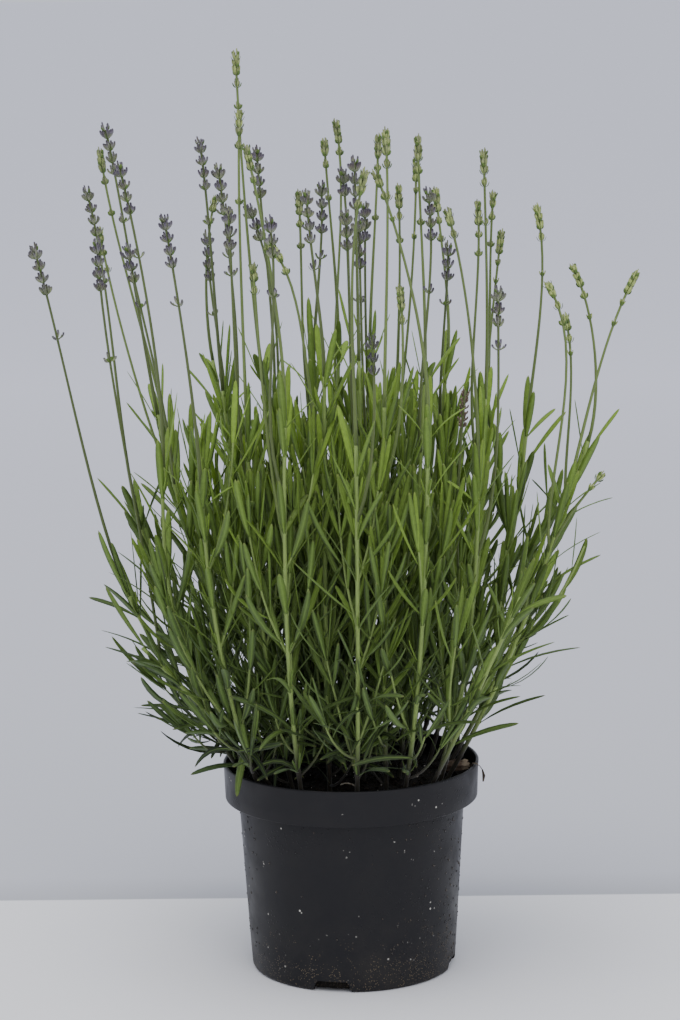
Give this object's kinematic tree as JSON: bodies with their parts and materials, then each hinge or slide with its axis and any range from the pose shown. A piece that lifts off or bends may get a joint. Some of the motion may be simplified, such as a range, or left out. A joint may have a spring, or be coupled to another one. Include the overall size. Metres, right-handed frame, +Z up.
{
  "type": "potted lavender",
  "caption": "Lavender plant with narrow grey-green leaves and violet and green flower spikes on bare stalks, in a black collared nursery pot of soil.",
  "frame": {"origin": "centre of the pot's flat base, on the surface it stands on", "axes": "+Z up along the pot's axis, -Y towards the front, +X to the right seen from the front"},
  "size_m": [0.4177, 0.2843, 0.65],
  "materials": {
    "pot_plastic": "black moulded polypropylene with a soft sheen, dusty near the base",
    "soil_peat": "loose dark peat compost with white perlite grains; fabric stands in for its low density",
    "bark": "rough brown bark",
    "dry_leaf": "dry brown leaf",
    "leaf_green": "soft green leaf and stem, faintly hairy and matt",
    "calyx_violet": "greyish violet felted calyxes"
  },
  "bodies": {
    "root": {"pot": "pot_plastic", "soil": "soil_peat", "bark_chip": "bark", "dry_leaf": "dry_leaf", "shoot_01": "leaf_green", "shoot_02": "leaf_green", "shoot_03": "leaf_green", "shoot_04": "leaf_green", "shoot_05": "leaf_green", "shoot_06": "leaf_green", "shoot_07": "leaf_green", "shoot_08": "leaf_green", "shoot_09": "leaf_green", "shoot_10": "leaf_green", "shoot_11": "leaf_green", "shoot_12": "leaf_green", "shoot_13": "leaf_green", "shoot_14": "leaf_green", "shoot_15": "leaf_green", "shoot_16": "leaf_green", "shoot_17": "leaf_green", "shoot_18": "leaf_green", "shoot_19": "leaf_green", "shoot_20": "leaf_green", "shoot_21": "leaf_green", "shoot_22": "leaf_green", "shoot_23": "leaf_green", "shoot_24": "leaf_green", "shoot_25": "leaf_green", "shoot_26": "leaf_green", "shoot_27": "leaf_green", "shoot_28": "leaf_green", "shoot_29": "leaf_green", "shoot_30": "leaf_green", "shoot_31": "leaf_green", "spike_01": "calyx_violet", "spike_02": "calyx_violet", "spike_03": "calyx_violet", "spike_04": "calyx_violet", "spike_05": "calyx_violet", "spike_06": "calyx_violet", "spike_07": "calyx_violet", "spike_08": "calyx_violet", "spike_09": "calyx_violet", "spike_10": "calyx_violet", "spike_11": "calyx_violet", "spike_12": "calyx_violet", "spike_13": "calyx_violet", "spike_14": "calyx_violet", "spike_15": "calyx_violet", "spike_16": "calyx_violet", "spike_17": "calyx_violet", "spike_18": "calyx_violet", "spike_19": "calyx_violet", "spike_20": "calyx_violet", "spike_21": "calyx_violet", "spike_22": "calyx_violet", "spike_23": "calyx_violet", "spike_24": "calyx_violet", "spike_25": "calyx_violet"}
  },
  "joints": []
}
